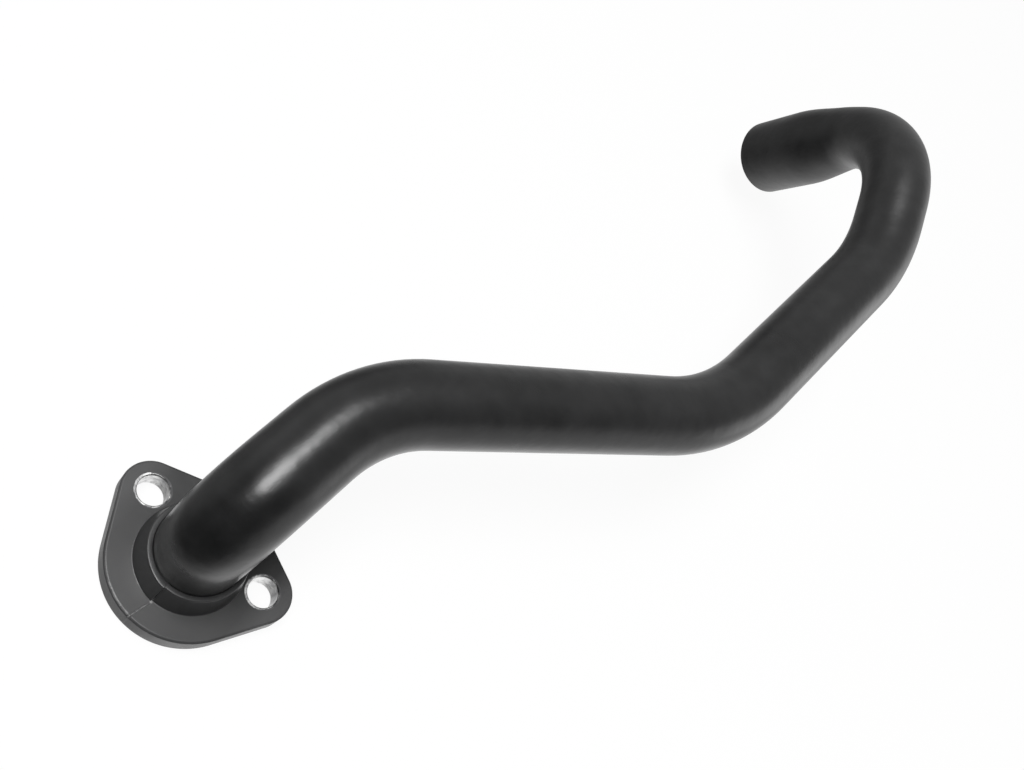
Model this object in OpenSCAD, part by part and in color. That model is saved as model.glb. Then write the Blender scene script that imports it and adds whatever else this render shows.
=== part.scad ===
// Crankcase breather pipe: a moulded two-bolt flange holds a bent tube with a widened hose end.
// Millimetres. The origin is the centre of the passage on the flange's mounting face.
// Z points out along the collar, and X runs along the line of the two bolts.

/* [Tube] */
// Outside diameter of the tube
tube_d = 20; // [17:0.5:22]
// Wall thickness of the tube
tube_wall = 2; // [1.2:0.1:3]

/* [Tube run] */
// Height above the mounting face at which the first bend starts
first_bend_height = 21; // [14:0.5:40]
// Straight between the first and the second bend
straight_2 = 9.5; // [3:0.5:40]
// Straight between the second and the third bend
straight_3 = 67; // [30:1:100]
// Straight between the third and the fourth bend
straight_4 = 52.5; // [20:0.5:90]
// Straight between the fourth and the fifth bend
straight_5 = 7; // [3:0.5:30]
// Straight between the fifth bend and the flare of the hose end
straight_6 = 1; // [1:0.5:30]

/* [Bend angles] */
// Angle of the first bend, just outside the flange
bend_1_angle = 77; // [60:1:90]
// Angle of the second bend
bend_2_angle = 40; // [20:1:50]
// Angle of the third bend
bend_3_angle = 37; // [20:1:50]
// Angle of the fourth bend
bend_4_angle = 28; // [15:1:40]
// Angle of the fifth bend, the hook
bend_5_angle = 80; // [45:1:95]

/* [Bend radii] */
// Centreline radius of the first bend
bend_1_radius = 16; // [13:0.5:30]
// Centreline radius of the second bend
bend_2_radius = 39; // [25:1:60]
// Centreline radius of the third bend
bend_3_radius = 51; // [25:1:70]
// Centreline radius of the fourth bend
bend_4_radius = 52; // [25:1:70]
// Centreline radius of the fifth bend
bend_5_radius = 37; // [25:1:50]

/* [Bend planes] */
// Direction of the first bend, measured from the line of the bolts
bend_1_turn = 85; // [60:1:120]
// Turn of the second bend's plane from the first bend's plane
bend_2_turn = -78; // [-110:1:-50]
// Turn of the third bend's plane from the second bend's plane
bend_3_turn = 180; // [160:1:200]
// Turn of the fourth bend's plane from the third bend's plane
bend_4_turn = 0; // [-20:1:20]
// Turn of the fifth bend's plane from the fourth bend's plane
bend_5_turn = -90; // [-120:1:-60]

/* [Hose end] */
// Outside diameter of the widened end that takes the hose
hose_end_d = 25.4; // [23:0.1:30]
// Length of the widened end
hose_end_length = 21; // [12:0.5:40]
// Length over which the tube widens
flare_length = 16; // [8:0.5:25]
// Break on the outer and the inner edge of the mouth
mouth_break = 0.4; // [0.2:0.1:0.5]

/* [Flange plate] */
// Thickness of the plate
plate_t = 5; // [4:0.5:8]
// Diameter of the plate's round middle
plate_d = 36.5; // [34:0.5:44]
// Radius of each ear, about its bolt
ear_r = 7; // [6:0.25:9]
// Rounding of the plate's outer edge on the tube's side
plate_round = 1; // [0.5:0.1:1.5]

/* [Bolts] */
// Distance between the two bolts
bolt_pitch = 32.5; // [30:0.5:38]
// Distance of the bolt line from the passage, towards the side to which the tube bends
bolt_offset = 5.4; // [2:0.1:8]
// Clear diameter inside a bolt bush
bush_bore_d = 7; // [6.2:0.1:7.4]
// Outside diameter of a bolt bush
bush_d = 8.4; // [8:0.1:9.6]
// Break on the bush's inner edges
bush_break = 0.25; // [0.1:0.05:0.3]

/* [Collar] */
// Height of the collar above the plate
collar_h = 6.5; // [4:0.5:10]
// Width of the collar's flat top round the tube, outer edge break included
collar_top_w = 1.2; // [0.9:0.1:2]
// Slope of the collar's wall, degrees from upright
collar_draft = 10.5; // [3:0.5:18]
// Fillet where the collar meets the plate
collar_fillet = 0.5; // [0.3:0.1:1.5]
// Break on the collar's upper outer edge
collar_break = 0.35; // [0.2:0.05:0.6]
// Height of the ledge inside the flange on which the tube stands
seat_height = 1.5; // [1:0.25:2.5]
// How far the ledge reaches in under the end of the tube
seat_w = 1.5; // [0.6:0.1:3]

/* [Parting line] */
// Width of the fine ridge that the mould's joint leaves
ridge_w = 0.4; // [0.3:0.1:0.8]
// Height of that ridge above the surface
ridge_h = 0.15; // [0.1:0.05:0.3]

/* [Hidden] */
$fn = 96;
hull_fn = 64;
edge_fn = 24;
// How far a cut runs past the face that it opens
cut = 1;
// How far each straight laps over its bends, and how much thinner a bend is on each face there
lap = 0.1;
lap_step = 0.04;

tube_r = tube_d / 2;
bore_r = tube_r - tube_wall;
hose_r = hose_end_d / 2;
hose_bore_r = hose_r - tube_wall;
collar_top = plate_t + collar_h;
collar_top_r = tube_r + collar_top_w;
collar_base_r = collar_top_r + collar_h * tan(collar_draft);
passage_r = tube_r - seat_w;

straights = [first_bend_height - seat_height, straight_2, straight_3, straight_4, straight_5];
angles = [bend_1_angle, bend_2_angle, bend_3_angle, bend_4_angle, bend_5_angle];
radii = [bend_1_radius, bend_2_radius, bend_3_radius, bend_4_radius, bend_5_radius];
turns = [bend_1_turn, bend_2_turn, bend_3_turn, bend_4_turn, bend_5_turn];
bend_count = len(angles);

// Centre of the bolt on one side: -1 is left, 1 is right
function bolt_at(side) = [side * bolt_pitch / 2, bolt_offset];

// Places its children on the tube's centreline, after the given number of straights and bends
module along_run(count) {
  if (count == 0) {
    translate([0, 0, seat_height]) children();
  } else {
    along_run(count - 1) at_bend_start(count - 1) to_bend_end(count - 1) children();
  }
}

// Moves along a straight to the start of its bend, with X towards the centre of the bend
module at_bend_start(number) {
  translate([0, 0, straights[number]])
    rotate([0, 0, turns[number]]) children();
}

// Moves round a bend, about its centre, from its start to its end
module to_bend_end(number) {
  translate([radii[number], 0, 0])
    rotate([0, angles[number], 0])
      translate([-radii[number], 0, 0]) children();
}

// The section of the tube: a ring about the centreline, thinner by the given step on each face
module tube_section(step) {
  difference() {
    circle(r = tube_r - step);
    circle(r = bore_r + step);
  }
}

// A straight, which laps over the bend at its end, and from the second one on also at its start
module straight(number) {
  start_lap = number == 0 ? 0 : lap;
  translate([0, 0, -start_lap])
    linear_extrude(height = start_lap + straights[number] + lap) tube_section(0);
}

// One bend, cut from a whole turn of tube by the planes of its start and its end
module elbow(number) {
  bend_r = radii[number];
  size = [2 * (bend_r + tube_d), 2 * tube_d, bend_r + tube_d];
  intersection() {
    translate([bend_r, 0, 0])
      rotate([90, 0, 0])
        rotate_extrude() translate([bend_r, 0]) tube_section(lap_step);
    translate([-tube_d, -tube_d, 0]) cube(size);
    to_bend_end(number) translate([-tube_d, -tube_d, -size[2]]) cube(size);
  }
}

// Half outline of a bar that widens smoothly up the page, by two arcs that meet halfway
module flare_outline(start_r, end_r, length) {
  rise = end_r - start_r;
  arc_r = (length * length + rise * rise) / (4 * rise);
  difference() {
    square([start_r + rise / 2, length / 2]);
    translate([start_r + arc_r, 0]) circle(r = arc_r);
  }
  intersection() {
    translate([0, length / 2]) square([end_r, length / 2]);
    translate([end_r - arc_r, length]) circle(r = arc_r);
  }
}

// The last straight, its flare and the straight end for the hose, with the mouth's edges broken
module hose_end() {
  flare_end = straight_6 + flare_length;
  mouth = flare_end + hose_end_length;
  rotate_extrude()
    difference() {
      union() {
        translate([0, -lap]) square([tube_r, straight_6 + lap]);
        translate([0, straight_6]) flare_outline(tube_r, hose_r, flare_length);
        polygon([
          [0, flare_end],
          [hose_r, flare_end],
          [hose_r, mouth - mouth_break],
          [hose_r - mouth_break, mouth],
          [0, mouth]
        ]);
      }
      translate([0, -lap]) square([bore_r, straight_6 + lap]);
      translate([0, straight_6]) flare_outline(bore_r, hose_bore_r, flare_length);
      polygon([
        [0, flare_end],
        [hose_bore_r, flare_end],
        [hose_bore_r, mouth - mouth_break],
        [hose_bore_r + mouth_break, mouth],
        [0, mouth]
      ]);
    }
}

module pipe() {
  color("#26272a") {
    for (i = [0 : bend_count - 1])
      along_run(i) {
        straight(i);
        at_bend_start(i) elbow(i);
      }
    along_run(bend_count) hose_end();
  }
}

// A disc with a rounded upper edge
module rounded_disc(disc_r) {
  rotate_extrude($fn = hull_fn) {
    square([disc_r - plate_round, plate_t]);
    square([disc_r, plate_t - plate_round]);
    translate([disc_r - plate_round, plate_t - plate_round]) circle(r = plate_round, $fn = edge_fn);
  }
}

// The plate: a round middle drawn out to an ear at each bolt
module plate() {
  hull() {
    rounded_disc(plate_d / 2);
    for (side = [-1, 1]) translate(bolt_at(side)) rounded_disc(ear_r);
  }
}

// The collar: a sloping wall with a fillet at its foot and a broken upper edge
module collar() {
  foot_angle = (90 + collar_draft) / 2;
  foot = collar_fillet / tan(foot_angle);
  rotate_extrude() {
    polygon([
      [0, 0],
      [collar_base_r, 0],
      [collar_base_r, plate_t],
      [collar_top_r + collar_break * tan(collar_draft), collar_top - collar_break],
      [collar_top_r - collar_break, collar_top],
      [0, collar_top]
    ]);
    difference() {
      polygon([
        [collar_base_r, plate_t - cut],
        [collar_base_r + foot, plate_t - cut],
        [collar_base_r + foot, plate_t],
        [collar_base_r + foot, plate_t + collar_fillet],
        [collar_base_r - foot * sin(collar_draft), plate_t + foot * cos(collar_draft)],
        [collar_base_r, plate_t]
      ]);
      translate([collar_base_r + foot, plate_t + collar_fillet]) circle(r = collar_fillet);
    }
  }
}

// The ridge of the mould's joint, down the collar and out over the plate, on both sides of the tube
module parting_ridge() {
  slope = ridge_h / cos(collar_draft);
  for (side = [-1, 1])
    rotate([90, 0, side * 90])
      linear_extrude(height = ridge_w, center = true)
        polygon([
          [0, 0],
          [plate_d / 2 + ridge_h, 0],
          [plate_d / 2 + ridge_h, plate_t - plate_round],
          [plate_d / 2 - plate_round, plate_t + ridge_h],
          [collar_base_r + slope, plate_t + ridge_h],
          [collar_top_r + slope, collar_top - collar_break],
          [collar_top_r - collar_break, collar_top + ridge_h],
          [0, collar_top + ridge_h]
        ]);
}

module flange() {
  color("#3c3e42")
    difference() {
      union() {
        plate();
        collar();
        parting_ridge();
      }
      translate([0, 0, -cut]) cylinder(h = seat_height + 2 * cut, r = passage_r);
      translate([0, 0, seat_height]) cylinder(h = collar_top, r = tube_r);
      for (side = [-1, 1])
        translate(bolt_at(side)) translate([0, 0, -cut]) cylinder(h = plate_t + 2 * cut, d = bush_d);
    }
}

// A plain steel sleeve that carries the bolt's load through the plate
module bolt_bush(side) {
  bush_r = bush_d / 2;
  clear_r = bush_bore_d / 2;
  color("#b9bbbe")
    translate(bolt_at(side))
      difference() {
        cylinder(h = plate_t, r = bush_r);
        translate([0, 0, -cut]) cylinder(h = plate_t + 2 * cut, r = clear_r);
        cylinder(h = bush_break, r1 = clear_r + bush_break, r2 = clear_r);
        translate([0, 0, plate_t - bush_break])
          cylinder(h = bush_break, r1 = clear_r, r2 = clear_r + bush_break);
      }
}

module bolt_bush_left() {
  bolt_bush(-1);
}

module bolt_bush_right() {
  bolt_bush(1);
}

flange();
pipe();
bolt_bush_left();
bolt_bush_right();
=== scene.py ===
"""The looks of the crankcase breather pipe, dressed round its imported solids."""

from math import atan2, cos, degrees, exp, hypot, pi, radians, sin, tan

import bmesh
import bpy
from mathutils import Matrix, Vector
from mathutils.geometry import delaunay_2d_cdt


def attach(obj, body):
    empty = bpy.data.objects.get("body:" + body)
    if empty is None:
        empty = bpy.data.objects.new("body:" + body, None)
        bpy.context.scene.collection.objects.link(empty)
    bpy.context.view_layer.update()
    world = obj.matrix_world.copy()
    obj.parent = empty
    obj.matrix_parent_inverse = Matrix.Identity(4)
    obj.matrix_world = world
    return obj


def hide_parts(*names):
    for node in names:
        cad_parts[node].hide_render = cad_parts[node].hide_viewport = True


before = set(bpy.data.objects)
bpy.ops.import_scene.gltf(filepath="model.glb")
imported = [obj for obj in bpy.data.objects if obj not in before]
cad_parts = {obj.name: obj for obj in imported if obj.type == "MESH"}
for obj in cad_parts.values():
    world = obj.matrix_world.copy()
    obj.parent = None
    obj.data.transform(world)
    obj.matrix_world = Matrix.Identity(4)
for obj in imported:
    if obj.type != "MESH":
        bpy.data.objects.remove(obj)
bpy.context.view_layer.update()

# Metres in a millimetre: shapes and the marks on them are in millimetres, lamps and floor in metres
MM = 0.001

# The tube: its section, then its run, with each bend's angle, centreline radius and turn of its plane
TUBE_R, BORE_R = 10.0, 8.0
SEAT_Z = 1.5
STRAIGHTS = (19.5, 9.5, 67.0, 52.5, 7.0)
BENDS = ((77, 16, 85), (40, 39, -78), (37, 51, 180), (28, 52, 0), (80, 37, -90))
# The hose end: the tube begins to widen in the last bend, EARLY_GROWTH before its end
EARLY_GROWTH = 9.0
LAST_STRAIGHT, FLARE, HOSE_END = 1.0, 16.0, 21.0
HOSE_R, MOUTH_BREAK = 12.7, 0.4
LAST_BEND = len(BENDS) - 1

# The flange's plate: three discs (x, y, radius) span its outline
PLATE_T, PLATE_ROUND, PLATE_FOOT = 5.0, 0.55, 0.2
PLATE_R, EAR_R = 18.25, 7.0
BOLT_X, BOLT_Y = 16.25, 5.4
BOLTS = ((-BOLT_X, BOLT_Y), (BOLT_X, BOLT_Y))
DISCS = ((0.0, 0.0, PLATE_R), (-BOLT_X, BOLT_Y, EAR_R), (BOLT_X, BOLT_Y, EAR_R))
BUSH_R, PASSAGE_R = 4.2, 8.5
# Where a small pale spot sits at the collar's foot
PALE_SPOT_AT = (0.2, -12.85)
# The flange's collar
COLLAR_TOP, COLLAR_TOP_R, COLLAR_DRAFT = 11.5, 11.2, radians(10.5)
COLLAR_FILLET, COLLAR_BREAK = 0.28, 0.35
# The joint of the mould: a fine ridge, and a slight step between the halves on the collar
RIDGE_H, RIDGE_HALF = 0.12, 0.16
RIDGE_POINTS = (-0.35, -0.22, -0.1, 0.1, 0.22, 0.35)
RIDGE_ROWS, RIDGE_STEP, RIDGE_AT_R = 9, 0.5, 13
MOULD_STEP, MOULD_STEP_SPREAD = 0.28, 22.0
JOINT_X, JOINT_FROM_Y, JOINT_LEAN = 0.14, -12.9, 0.227
# Where the joint crosses the plate's edge, in radians from the middle, and directions beside it in degrees
JOINT_EDGE_TURN = 0.058
JOINT_EDGE_POINTS = (-1.2, -0.75, -0.35, 0.0, 0.35, 0.75, 1.2)

# How finely the pieces are cut: points round them, and steps in mm, in degrees or in number
TUBE_AROUND, PLATE_AROUND, CIRCLE_AROUND = 128, 240, 192
STRAIGHT_STEP, BEND_STEP, FLARE_STEPS = 3, 2.5, 18
FOOT_STEPS, MOUTH_STEPS, ROUND_STEPS = 3, 4, 6
SHARP_FROM = radians(32)

# Colours
TUBE_DARK, TUBE_LIGHT = (0.005, 0.0051, 0.0053), (0.013, 0.0131, 0.0134)
PLATE_DARK, PLATE_LIGHT = (0.015, 0.0152, 0.0155), (0.024, 0.0242, 0.0246)
# painted light: the plate's paler tones away from the tube's shade and at the far ends of the ears
PLATE_PAINTED_LIT, PLATE_EARS_PAINTED_LIT = (0.042, 0.042, 0.043), (0.055, 0.055, 0.056)
# colours of the painted highlights on the mould's joint and along the plate's edge, and of a small pale spot
# at the collar's foot
PAINTED_HIGHLIGHT, PALE_SPOT = (0.19, 0.19, 0.19), (0.32, 0.32, 0.32)
STEEL_DARK, STEEL_LIGHT, GRIME = (0.30, 0.30, 0.305), (0.78, 0.78, 0.775), (0.07, 0.07, 0.072)
FLOOR_PALE, WHITE = (0.9, 0.9, 0.9, 1.0), (1.0, 1.0, 1.0, 1.0)

# The camera stands where the photo was taken
CAMERA_AT = Vector((-3.212, -97.448, 227.864)) * MM
CAMERA_RIGHT = Vector((0.70499, 0.47515, 0.52651)).normalized()
CAMERA_AHEAD = Vector((0.11098, 0.65933, -0.74362)).normalized()
SENSOR_WIDTH, LENS = 36.0, 37.6857

# The floor lies just under the mounting face
FLOOR_Z, FLOOR_HALF, FLOOR_WHITE_SHARE = -0.0008, 6.0, 0.94

# The light on matt surfaces, and the directions of the studio's bright wall and of the overhead lamp's glow
EVEN_LIGHT = 0.16
WALL_SIDE, GLOW_SIDE = (0.75, 0.35, -0.45), (-0.207, -0.215, 0.954)


def standing(side, top, back, at):
    """The place of a camera or lamp that looks away from back."""
    return Matrix.Translation(at) @ Matrix((side, top, back)).transposed().to_4x4()


def photo_camera():
    data = bpy.data.cameras.new("photo_camera")
    data.sensor_width = SENSOR_WIDTH
    data.lens = LENS
    data.clip_start = 0.005
    data.clip_end = 20.0
    camera = bpy.data.objects.new("photo_camera", data)
    bpy.context.scene.collection.objects.link(camera)
    top = CAMERA_RIGHT.cross(CAMERA_AHEAD).normalized()
    camera.matrix_world = standing(CAMERA_RIGHT, top, -CAMERA_AHEAD, CAMERA_AT)
    bpy.context.scene.camera = camera
    bpy.context.scene.view_settings.view_transform = "Standard"


photo_camera()


def new_material(name):
    material = bpy.data.materials.new(name)
    material.use_nodes = True
    tree = material.node_tree
    tree.nodes.clear()
    out = tree.nodes.new("ShaderNodeOutputMaterial")
    return material, tree, out.inputs["Surface"]


def glossy_material(name):
    """A material with one principled shader, and where its texture lies."""
    material, tree, surface = new_material(name)
    shader = tree.nodes.new("ShaderNodeBsdfPrincipled")
    tree.links.new(shader.outputs["BSDF"], surface)
    return material, tree, shader.inputs, tree.nodes.new("ShaderNodeTexCoord").outputs["Object"]


def noise(tree, coords, scale, detail, rough):
    node = tree.nodes.new("ShaderNodeTexNoise")
    node.inputs["Scale"].default_value = scale
    node.inputs["Detail"].default_value = detail
    node.inputs["Roughness"].default_value = rough
    tree.links.new(coords, node.inputs["Vector"])
    return node.outputs["Fac"]


def ramp(tree, value, start, end, low=0.0, high=1.0):
    """Goes from low, where the value is start or before it, to high at end or past it."""
    node = tree.nodes.new("ShaderNodeMapRange")
    node.inputs["From Min"].default_value = start
    node.inputs["From Max"].default_value = end
    node.inputs["To Min"].default_value = low
    node.inputs["To Max"].default_value = high
    tree.links.new(value, node.inputs["Value"])
    return node.outputs["Result"]


def maths(tree, what, a, b=None):
    node = tree.nodes.new("ShaderNodeMath")
    node.operation = what
    for slot, value in ((0, a), (1, b)):
        if isinstance(value, (int, float)):
            node.inputs[slot].default_value = value
        elif value is not None:
            tree.links.new(value, node.inputs[slot])
    return node.outputs[0]


def chain(tree, what, values):
    out = values[0]
    for value in values[1:]:
        out = maths(tree, what, out, value)
    return out


def times(tree, *factors):
    return chain(tree, "MULTIPLY", factors)


def plus(tree, *terms):
    return chain(tree, "ADD", terms)


def highest(tree, *values):
    return chain(tree, "MAXIMUM", values)


def less(tree, a, b):
    return maths(tree, "SUBTRACT", a, b)


def least(tree, *values):
    return chain(tree, "MINIMUM", values)


def without_sign(tree, value):
    return maths(tree, "ABSOLUTE", value)


def distance(tree, x, y):
    return maths(tree, "SQRT", plus(tree, times(tree, x, x), times(tree, y, y)))


def towards(tree, vector, direction):
    node = tree.nodes.new("ShaderNodeVectorMath")
    node.operation = "DOT_PRODUCT"
    node.inputs[1].default_value = direction
    tree.links.new(vector, node.inputs[0])
    return node.outputs["Value"]


def axes(tree, coords):
    node = tree.nodes.new("ShaderNodeSeparateXYZ")
    tree.links.new(coords, node.inputs[0])
    return node.outputs["X"], node.outputs["Y"], node.outputs["Z"]


def axes_mm(tree, coords):
    node = tree.nodes.new("ShaderNodeVectorMath")
    node.operation = "SCALE"
    node.inputs["Scale"].default_value = 1 / MM
    tree.links.new(coords, node.inputs[0])
    return axes(tree, node.outputs["Vector"])


def blend(tree, share, first, second):
    """A mix of two colours, of which each is written out or comes from a node."""
    node = tree.nodes.new("ShaderNodeMix")
    node.data_type = "RGBA"
    for slot, colour in (("A", first), ("B", second)):
        if isinstance(colour, tuple):
            node.inputs[slot].default_value = (*colour, 1.0)
        else:
            tree.links.new(colour, node.inputs[slot])
    tree.links.new(share, node.inputs["Factor"])
    return node.outputs["Result"]


def bump(tree, height, strength, depth, normal=None):
    node = tree.nodes.new("ShaderNodeBump")
    node.inputs["Strength"].default_value = strength
    node.inputs["Distance"].default_value = depth
    tree.links.new(height, node.inputs["Height"])
    if normal is not None:
        tree.links.new(normal, node.inputs["Normal"])
    return node.outputs["Normal"]


def shader_mix(tree, share, first, second):
    node = tree.nodes.new("ShaderNodeMixShader")
    tree.links.new(share, node.inputs["Fac"])
    tree.links.new(first, node.inputs[1])
    tree.links.new(second, node.inputs[2])
    return node.outputs[0]


def tube_material():
    material, tree, inputs, at = glossy_material("tube_satin_black")
    patches = noise(tree, at, 60.0, 3.0, 0.5)
    cloud = noise(tree, at, 190.0, 2.0, 0.5)
    grain = noise(tree, at, 2600.0, 2.0, 0.6)
    coarse = ramp(tree, patches, 0.35, 0.7, 0.0, 0.5)
    mottled = plus(tree, coarse, ramp(tree, cloud, 0.35, 0.65, 0.0, 0.5))
    tree.links.new(blend(tree, mottled, TUBE_DARK, TUBE_LIGHT), inputs["Base Color"])
    # duller towards the hook
    dull = ramp(tree, axes_mm(tree, at)[1], 130.0, 220.0, 0.0, 0.12)
    tree.links.new(plus(tree, ramp(tree, patches, 0.3, 0.75, 0.27, 0.34), dull), inputs["Roughness"])
    wavy = bump(tree, cloud, 0.3, 0.4 * MM, bump(tree, patches, 0.25, 0.6 * MM))
    tree.links.new(bump(tree, grain, 0.12, 0.08 * MM, wavy), inputs["Normal"])
    return material


def flange_material():
    material, tree, inputs, at = glossy_material("flange_charcoal")
    x, y, z = axes_mm(tree, at)
    out_r = distance(tree, x, y)
    patches = noise(tree, at, 90.0, 4.0, 0.6)
    grain = noise(tree, at, 3400.0, 3.0, 0.6)
    colour = blend(tree, ramp(tree, patches, 0.3, 0.7), PLATE_DARK, PLATE_LIGHT)
    # painted light and shade: the plate is painted darker near the tube, where the tube shades it, and paler
    # on the side away from the tube and at the far ends of the ears
    away = plus(tree, times(tree, x, -0.55), times(tree, y, -0.84))
    colour = blend(tree, ramp(tree, away, -8.0, 18.0, 0.0, 0.55), colour, PLATE_PAINTED_LIT)
    ear = without_sign(tree, x)
    colour = blend(tree, ramp(tree, ear, BOLT_X - 0.25, BOLT_X + 4.25, 0.0, 0.75), colour, PLATE_EARS_PAINTED_LIT)
    # painted highlights on the crest of the mould's joint and in a line beside it along the plate's rounded
    # edge, broken up by noise
    highlight_breakup = ramp(tree, noise(tree, at, 1500.0, 3.0, 0.6), 0.42, 0.58, 0.25)
    leaning = least(tree, less(tree, y, JOINT_FROM_Y), 0.0)
    off_joint = less(tree, x, plus(tree, times(tree, leaning, JOINT_LEAN), JOINT_X))
    crest_painted_highlight = times(
        tree,
        ramp(tree, without_sign(tree, off_joint), RIDGE_HALF - 0.06, RIDGE_HALF + 0.1, 1.0, 0.0),
        ramp(tree, y, -12.2, -12.6),
        ramp(tree, z, PLATE_T - 0.6, PLATE_T - 0.2),
        highlight_breakup,
    )
    off_line = without_sign(tree, less(tree, out_r, PLATE_R - 0.4))
    edge_painted_highlight = times(
        tree,
        ramp(tree, off_line, 0.12, 0.34, 1.0, 0.0),
        ramp(tree, x, -13.5, -8.5),
        ramp(tree, off_joint, -0.6, -0.3, 1.0, 0.0),
        ramp(tree, y, -10.0, -12.0),
        highlight_breakup,
    )
    colour = blend(tree, times(tree, highest(tree, crest_painted_highlight, edge_painted_highlight), 0.6), colour, PAINTED_HIGHLIGHT)
    # a small pale spot at the collar's foot, on the mould's joint
    from_pale_spot = distance(tree, less(tree, x, PALE_SPOT_AT[0]), less(tree, y, PALE_SPOT_AT[1]))
    colour = blend(tree, ramp(tree, from_pale_spot, 0.15, 0.4, 0.9, 0.0), colour, PALE_SPOT)
    tree.links.new(colour, inputs["Base Color"])
    # the plate's rounded edge is dull
    edge = times(
        tree,
        ramp(tree, z, PLATE_T - 0.7, PLATE_T - 0.5),
        ramp(tree, z, PLATE_T - 0.04, PLATE_T - 0.01, 1.0, 0.0),
        ramp(tree, out_r, 13.2, 13.4, 0.0, 0.35),
    )
    tree.links.new(plus(tree, ramp(tree, patches, 0.3, 0.75, 0.33, 0.46), edge), inputs["Roughness"])
    tree.links.new(bump(tree, grain, 0.22, 0.08 * MM), inputs["Normal"])
    return material


def steel_material():
    material, tree, inputs, at = glossy_material("bush_turned_steel")
    patches = noise(tree, at, 700.0, 4.0, 0.6)
    colour = blend(tree, ramp(tree, patches, 0.35, 0.62), STEEL_DARK, STEEL_LIGHT)
    # grime over most of the rim, with the bare metal left along the hole
    x, y, z = axes_mm(tree, at)
    x = less(tree, x, times(tree, maths(tree, "SIGN", x), BOLT_X))
    y = less(tree, y, BOLT_Y)
    ragged = ramp(tree, noise(tree, at, 420.0, 3.0, 0.6), 0.35, 0.65, -0.2, 0.2)
    rim = plus(tree, distance(tree, x, y), ragged, times(tree, x, 0.055), times(tree, y, 0.04))
    on_top = ramp(tree, z, PLATE_T - 0.6, PLATE_T - 0.3)
    grime = times(tree, ramp(tree, rim, BUSH_R - 0.4, BUSH_R - 0.2, 0.0, 0.94), on_top)
    tree.links.new(blend(tree, grime, colour, GRIME), inputs["Base Color"])
    tree.links.new(ramp(tree, patches, 0.3, 0.75, 0.28, 0.45), inputs["Roughness"])
    inputs["Metallic"].default_value = 1.0
    return material


def new_object(name, bm, material):
    mesh = bpy.data.meshes.new(name)
    bm.to_mesh(mesh)
    bm.free()
    mesh.materials.append(material)
    for face in mesh.polygons:
        face.use_smooth = True
    mesh.set_sharp_from_angle(angle=SHARP_FROM)
    piece = bpy.data.objects.new(name, mesh)
    bpy.context.scene.collection.objects.link(piece)
    return piece


def bridge(bm, rows):
    for low, high in zip(rows, rows[1:]):
        n = len(low)
        for k in range(n):
            bm.faces.new((low[k], low[(k + 1) % n], high[(k + 1) % n], high[k]))


def quarter(steps):
    """Angles from 0 to a right angle."""
    return [pi / 2 * k / steps for k in range(steps + 1)]


def up(height):
    return Matrix.Translation((0, 0, height))


def widening(along):
    """How much wider the tube is at a place before or past the end of its last bend."""
    share = (along + EARLY_GROWTH) / (EARLY_GROWTH + LAST_STRAIGHT + FLARE)
    share = min(max(share, 0.0), 1.0)
    return (HOSE_R - TUBE_R) * (3 * share ** 2 - 2 * share ** 3)


def run_stations():
    """Places down the tube's centreline, each with how much wider the tube is there, and then its mouth."""
    out = []
    at = up(SEAT_Z)
    for number, (straight, (angle, bend_r, turn)) in enumerate(zip(STRAIGHTS, BENDS)):
        steps = max(2, round(straight / STRAIGHT_STEP))
        out += [(at @ up(straight * k / steps), 0.0) for k in range(steps)]
        outwards, inwards = [Matrix.Translation((r, 0, 0)) for r in (bend_r, -bend_r)]
        centre = at @ up(straight) @ Matrix.Rotation(radians(turn), 4, "Z") @ outwards
        steps = max(6, round(angle / BEND_STEP))
        for k in range(steps):
            tilt = Matrix.Rotation(radians(angle * k / steps), 4, "Y")
            before_end = radians(angle * (1 - k / steps)) * bend_r
            grow = widening(-before_end) if number == LAST_BEND else 0.0
            out.append((centre @ tilt @ inwards, grow))
        at = centre @ Matrix.Rotation(radians(angle), 4, "Y") @ inwards
    start = LAST_STRAIGHT + FLARE
    for k in range(FLARE_STEPS):
        along = start * k / FLARE_STEPS
        out.append((at @ up(along), widening(along)))
    hose = [STRAIGHT_STEP * k for k in range(round(HOSE_END / STRAIGHT_STEP))]
    for along in hose + [HOSE_END - MOUTH_BREAK - 0.3]:
        out.append((at @ up(start + along), HOSE_R - TUBE_R))
    return out, at @ up(start + HOSE_END)


def ring(bm, at, radius, side):
    """A ring of vertices that starts in the direction side, so that the rings down the tube don't twist."""
    axis = (at.to_3x3() @ Vector((0, 0, 1))).normalized()
    across = (side - axis * side.dot(axis)).normalized()
    beside = axis.cross(across)
    out = []
    for k in range(TUBE_AROUND):
        a = 2 * pi * k / TUBE_AROUND
        place = at.translation + across * (radius * cos(a)) + beside * (radius * sin(a))
        out.append(bm.verts.new(place * MM))
    return out, across


def tube_piece():
    bm = bmesh.new()
    stations, mouth = run_stations()
    side = Vector((1, 0, 0))
    outside, sides = [], []
    for at, grow in stations:
        row, side = ring(bm, at, TUBE_R + grow, side)
        outside.append(row)
        sides.append(side)
    # the mouth's edge is rounded outside and inside
    back = mouth @ up(-MOUTH_BREAK)
    mouth_bore = HOSE_R - (TUBE_R - BORE_R)
    outer = [(a, HOSE_R - MOUTH_BREAK * (1 - cos(a))) for a in quarter(MOUTH_STEPS)]
    inner = [(a, mouth_bore + MOUTH_BREAK * (1 - cos(a))) for a in reversed(quarter(MOUTH_STEPS))]
    lip = [ring(bm, back @ up(MOUTH_BREAK * sin(a)), r, side)[0] for a, r in outer + inner]
    back_up = zip(reversed(stations), reversed(sides))
    inside = [ring(bm, at, BORE_R + grow, s)[0] for (at, grow), s in back_up]
    bridge(bm, outside + lip + inside + [outside[0]])
    bmesh.ops.recalc_face_normals(bm, faces=bm.faces)
    return new_object("tube_skin", bm, tube_material())


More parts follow.
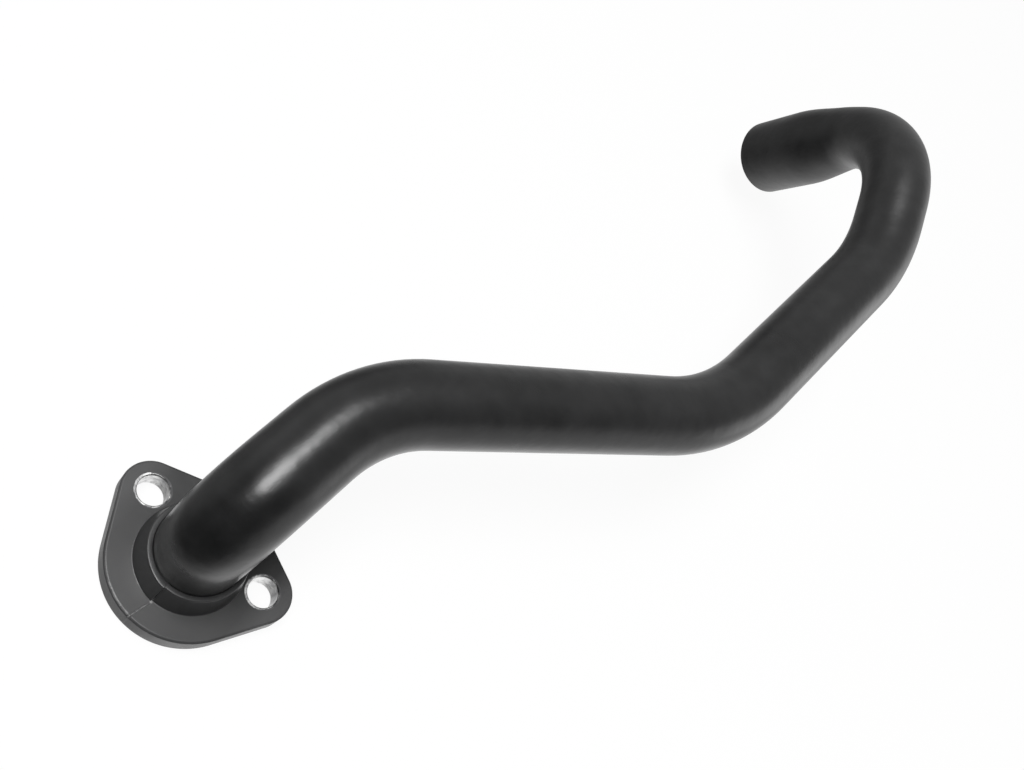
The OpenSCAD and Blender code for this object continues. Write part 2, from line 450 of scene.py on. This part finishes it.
def furthest_disc(angle):
    """The disc of the plate's outline that reaches furthest in a direction."""
    reach = [x * cos(angle) + y * sin(angle) + r for x, y, r in DISCS]
    return reach.index(max(reach))


def all_round(count, middles, offsets):
    """Angles all round, closer together near the middles."""
    grid = [2 * pi * k / count for k in range(count)]
    grid += [middle + d for middle in middles for d in offsets]
    return sorted({round(a % (2 * pi), 6) for a in grid})


def outline_angles():
    """Directions square to the plate's outline, each with its disc, with both ends of each straight."""
    offsets = [radians(d) for d in JOINT_EDGE_POINTS]
    grid = all_round(PLATE_AROUND, (-pi / 2 - JOINT_EDGE_TURN, pi / 2), offsets)
    out = []
    for a, b in zip(grid, grid[1:] + [grid[0] + 2 * pi]):
        first, last = furthest_disc(a), furthest_disc(b)
        out.append((a, first))
        if first != last:
            low, high = a, b
            for _ in range(40):
                mid = (low + high) / 2
                low, high = (mid, high) if furthest_disc(mid) == first else (low, mid)
            out += [(low, first), (high, last)]
    return out


OUTLINE = outline_angles()


def outline(inset):
    out = []
    for a, i in OUTLINE:
        x, y, r = DISCS[i]
        out.append((x + (r - inset) * cos(a), y + (r - inset) * sin(a)))
    return out


def bush_circle(centre):
    angles = [2 * pi * k / CIRCLE_AROUND for k in range(CIRCLE_AROUND)]
    return [(centre[0] + BUSH_R * cos(a), centre[1] + BUSH_R * sin(a)) for a in angles]


def collar_circle(radius):
    """A circle about the tube with closer points at the mould's joint."""
    angles = all_round(CIRCLE_AROUND, (-pi / 2, pi / 2), [across / RIDGE_AT_R for across in RIDGE_POINTS])
    return [(radius * cos(a), radius * sin(a)) for a in angles]


def row_at(bm, points, z):
    return [bm.verts.new((x * MM, y * MM, z * MM)) for x, y in points]


def in_loop(p, loop):
    odd = False
    for a, b in zip(loop, loop[1:] + loop[:1]):
        if (a.y > p.y) != (b.y > p.y) and p.x < (b.x - a.x) * (p.y - a.y) / (b.y - a.y) + a.x:
            odd = not odd
    return odd


def flat_face(bm, border, holes, z, extra=()):
    """A flat face between rows of vertices that are there already, with holes and with extra points in it."""
    rows = [border] + holes
    loops = [[Vector((v.co.x, v.co.y)) / MM for v in row] for row in rows]
    verts = [v for row in rows for v in row] + row_at(bm, extra, z)
    coords = [p for loop in loops for p in loop] + [Vector(p) for p in extra]
    edges, n = [], 0
    for row in rows:
        edges += [(n + k, n + (k + 1) % len(row)) for k in range(len(row))]
        n += len(row)
    hollows = []
    for loop in loops[1:]:
        x, y = sum(p.x for p in loop) / len(loop), sum(p.y for p in loop) / len(loop)
        hollows.append((x, y, min(hypot(p.x - x, p.y - y) for p in loop)))
    points, _, triangles, origin = delaunay_2d_cdt(coords, edges, [], 0, 1e-7)[:4]
    for triangle in triangles:
        mid = sum((points[i] for i in triangle), Vector((0, 0))) / 3
        if any(hypot(mid.x - x, mid.y - y) < r for x, y, r in hollows) or not in_loop(mid, loops[0]):
            continue
        corners = [verts[origin[i][0]] for i in triangle]
        if len(set(corners)) == 3 and not bm.faces.get(corners):
            bm.faces.new(corners)


def joint_x(y):
    """The mould's joint leans a little on the side away from the tube."""
    return JOINT_X + JOINT_LEAN * min(y - JOINT_FROM_Y, 0.0) if y < 0 else 0.0


def plate_rows(bm):
    """The plate's wall: a small break at the mounting face, the side, and the rounded upper edge.
    A narrow row beside each rounding keeps the light on the flat stretches even."""
    rows = [row_at(bm, outline(PLATE_FOOT + 0.05), 0.0)]
    for a in quarter(FOOT_STEPS):
        rows.append(row_at(bm, outline(PLATE_FOOT * (1 - sin(a))), PLATE_FOOT * (1 - cos(a))))
    rows.append(row_at(bm, outline(0.0), PLATE_FOOT + 0.1))
    rows.append(row_at(bm, outline(0.0), PLATE_T - PLATE_ROUND - 0.1))
    for a in quarter(ROUND_STEPS):
        rows.append(row_at(bm, outline(PLATE_ROUND * (1 - cos(a))), PLATE_T - PLATE_ROUND * (1 - sin(a))))
    rows.append(row_at(bm, outline(PLATE_ROUND + 0.08), PLATE_T))
    return rows


def collar_foot_r():
    """Where the fillet at the collar's foot meets the plate."""
    wall_r = COLLAR_TOP_R + (COLLAR_TOP - PLATE_T) * tan(COLLAR_DRAFT)
    return wall_r + COLLAR_FILLET / tan((pi / 2 + COLLAR_DRAFT) / 2)


def collar_profile():
    """The collar's section, as radius and height: foot fillet, drafted wall, softened upper edge, flat top,
    then the bore down to the ledge that the tube stands on, and the passage. It has narrow rows too."""
    centre_r, centre_z = collar_foot_r(), PLATE_T + COLLAR_FILLET
    out = [(centre_r + 0.03, PLATE_T)]
    for k in range(ROUND_STEPS + 1):
        a = -pi / 2 - (pi / 2 - COLLAR_DRAFT) * k / ROUND_STEPS
        out.append((centre_r + COLLAR_FILLET * cos(a), centre_z + COLLAR_FILLET * sin(a)))
    out.append((out[-1][0] - 0.08 * sin(COLLAR_DRAFT), out[-1][1] + 0.08))
    high_r = COLLAR_TOP_R + COLLAR_BREAK * tan(COLLAR_DRAFT)
    out.append((high_r + 0.08 * sin(COLLAR_DRAFT), COLLAR_TOP - COLLAR_BREAK - 0.08))
    edge_r = COLLAR_BREAK * 0.95
    for k in range(ROUND_STEPS + 1):
        a = COLLAR_DRAFT + (pi / 2 - COLLAR_DRAFT) * k / ROUND_STEPS
        out.append((high_r - edge_r + edge_r * cos(a), COLLAR_TOP - edge_r + edge_r * sin(a)))
    out.append((high_r - edge_r - 0.06, COLLAR_TOP))
    lead_in = ((0.22, 0), (0.12, 0.03), (0.04, 0.1), (0, 0.2))
    out += [(TUBE_R + gap, COLLAR_TOP - drop) for gap, drop in lead_in]
    return out + [(TUBE_R, SEAT_Z), (PASSAGE_R, SEAT_Z), (PASSAGE_R, 0.0)]


def raise_joint(bm):
    """The fine ridge of the mould's joint, and the slight step between the mould's halves."""
    for v in bm.verts:
        x, y, z = v.co / MM
        by_bush = hypot(abs(x) - BOLT_X, y - BOLT_Y) < BUSH_R + 0.3
        if z < 0.4 or hypot(x, y) < TUBE_R + 0.1 or by_bush:
            continue
        if abs(x - joint_x(y)) < RIDGE_HALF:
            v.co += v.normal * RIDGE_H * MM
        if y < 0 and x < 0.05 and z > PLATE_T + 0.1:
            turned = degrees(atan2(-x, -y)) / MOULD_STEP_SPREAD
            v.co += Vector((x, y, 0)).normalized() * MOULD_STEP * exp(-(turned ** 2)) * MM


def flange_piece():
    bm = bmesh.new()
    plate = plate_rows(bm)
    bridge(bm, plate)
    collar = [row_at(bm, collar_circle(r), z) for r, z in collar_profile()]
    bridge(bm, collar)
    seats = []
    for centre in BOLTS:
        seats.append([row_at(bm, bush_circle(centre), z) for z in (PLATE_T, PLATE_T - 0.1, 0.1, 0.0)])
        bridge(bm, seats[-1])
    ridge = []
    for side in (-1, 1):
        for x in RIDGE_POINTS:
            for k in range(RIDGE_ROWS):
                y = side * (collar_foot_r() + 0.4 + RIDGE_STEP * k)
                ridge.append((joint_x(y) + x, y))
    flat_face(bm, plate[-1], [collar[0]] + [rows[0] for rows in seats], PLATE_T, ridge)
    flat_face(bm, plate[0], [collar[-1]] + [rows[-1] for rows in seats], 0.0)
    bmesh.ops.recalc_face_normals(bm, faces=bm.faces)
    bm.normal_update()
    raise_joint(bm)
    return new_object("flange_moulding", bm, flange_material())


steel = steel_material()
for name in ("bolt_bush_left", "bolt_bush_right"):
    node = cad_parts[name]
    node.data.materials.clear()
    node.data.materials.append(steel)

tube = tube_piece()
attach(tube, "root")
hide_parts("pipe")

flange = flange_piece()
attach(flange, "root")
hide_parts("flange")


def floor_material():
    """Pale when lit, and nearly white to the camera, so that only the object's shadow shows on it."""
    material, tree, surface = new_material("stage_white")
    lit = tree.nodes.new("ShaderNodeBsdfDiffuse")
    lit.inputs["Color"].default_value = FLOOR_PALE
    white = tree.nodes.new("ShaderNodeEmission")
    white.inputs["Strength"].default_value = 1.0
    rays = tree.nodes.new("ShaderNodeLightPath").outputs
    seen = highest(tree, rays["Is Camera Ray"], rays["Is Glossy Ray"], rays["Is Transmission Ray"])
    share = least(tree, seen, FLOOR_WHITE_SHARE)
    tree.links.new(shader_mix(tree, share, lit.outputs[0], white.outputs[0]), surface)
    return material


def floor_piece():
    corners = [(x * FLOOR_HALF, y * FLOOR_HALF, 0) for x, y in ((-1, -1), (1, -1), (1, 1), (-1, 1))]
    mesh = bpy.data.meshes.new("floor")
    mesh.from_pydata(corners, [], [(0, 1, 2, 3)])
    mesh.materials.append(floor_material())
    piece = bpy.data.objects.new("floor", mesh)
    piece.location.z = FLOOR_Z
    bpy.context.scene.collection.objects.link(piece)
    piece.visible_glossy = False
    return piece


floor = floor_piece()


def studio_world():
    """Even light on matt surfaces and white for the camera, with bright and dim sides in reflections."""
    world = bpy.data.worlds.new("studio")
    bpy.context.scene.world = world
    world.use_nodes = True
    tree = world.node_tree
    even = tree.nodes["Background"]
    even.inputs["Color"].default_value = WHITE
    even.inputs["Strength"].default_value = EVEN_LIGHT
    ahead = tree.nodes.new("ShaderNodeTexCoord").outputs["Generated"]
    x, y, z = axes(tree, ahead)
    # a bright wall on the right, which ends behind the camera and overhead
    wall = times(
        tree,
        ramp(tree, towards(tree, ahead, WALL_SIDE), -0.2, 0.65, 0.12, 1.25),
        ramp(tree, y, -0.85, -0.35, 0.05),
        ramp(tree, z, 0.05, 0.4, 1.0, 0.0),
    )
    above = times(tree, ramp(tree, y, -0.45, 0.35, 0.06, 0.70), ramp(tree, z, -0.05, 0.3))
    from_corner = ramp(tree, plus(tree, x, y), -0.9, 0.1, 0.1)
    below = times(tree, ramp(tree, z, -0.45, -0.85, 0.0, 0.45), from_corner)
    left = ramp(tree, x, -0.72, -0.92, 0.0, 0.35)
    # the soft glow round the overhead lamp
    glow = ramp(tree, towards(tree, ahead, GLOW_SIDE), 0.88, 0.98, 0.0, 2.4)
    shine = tree.nodes.new("ShaderNodeBackground")
    tree.links.new(plus(tree, wall, above, below, left, glow), shine.inputs["Strength"])
    white = tree.nodes.new("ShaderNodeBackground")
    white.inputs["Color"].default_value = WHITE
    rays = tree.nodes.new("ShaderNodeLightPath").outputs
    mirrored = highest(tree, rays["Is Glossy Ray"], rays["Is Transmission Ray"])
    light = shader_mix(tree, mirrored, even.outputs[0], shine.outputs[0])
    light = shader_mix(tree, rays["Is Camera Ray"], light, white.outputs[0])
    tree.links.new(light, tree.nodes["World Output"].inputs["Surface"])


def area_light(name, at, to, along, size, power):
    """A rectangular lamp that shines at a place, with its second side in the direction along."""
    data = bpy.data.lights.new(name, "AREA")
    data.shape = "RECTANGLE"
    data.size, data.size_y = size
    data.energy = power
    lamp = bpy.data.objects.new(name, data)
    bpy.context.scene.collection.objects.link(lamp)
    at, to, along = Vector(at), Vector(to), Vector(along)
    back = (at - to).normalized()
    long_side = (along - back * along.dot(back)).normalized()
    lamp.matrix_world = standing(long_side.cross(back), long_side, back, at)


studio_world()
area_light("overhead", (-0.22, -0.22, 1.11), (0.02, 0.05, 0.042), (0, 1, 0), (0.41, 0.90), 15.4)
area_light("right_side", (1.06, 0.696, 0.10), (0.04, 0.12, 0.04), (0, 0, 1), (0.9, 0.6), 1.6)
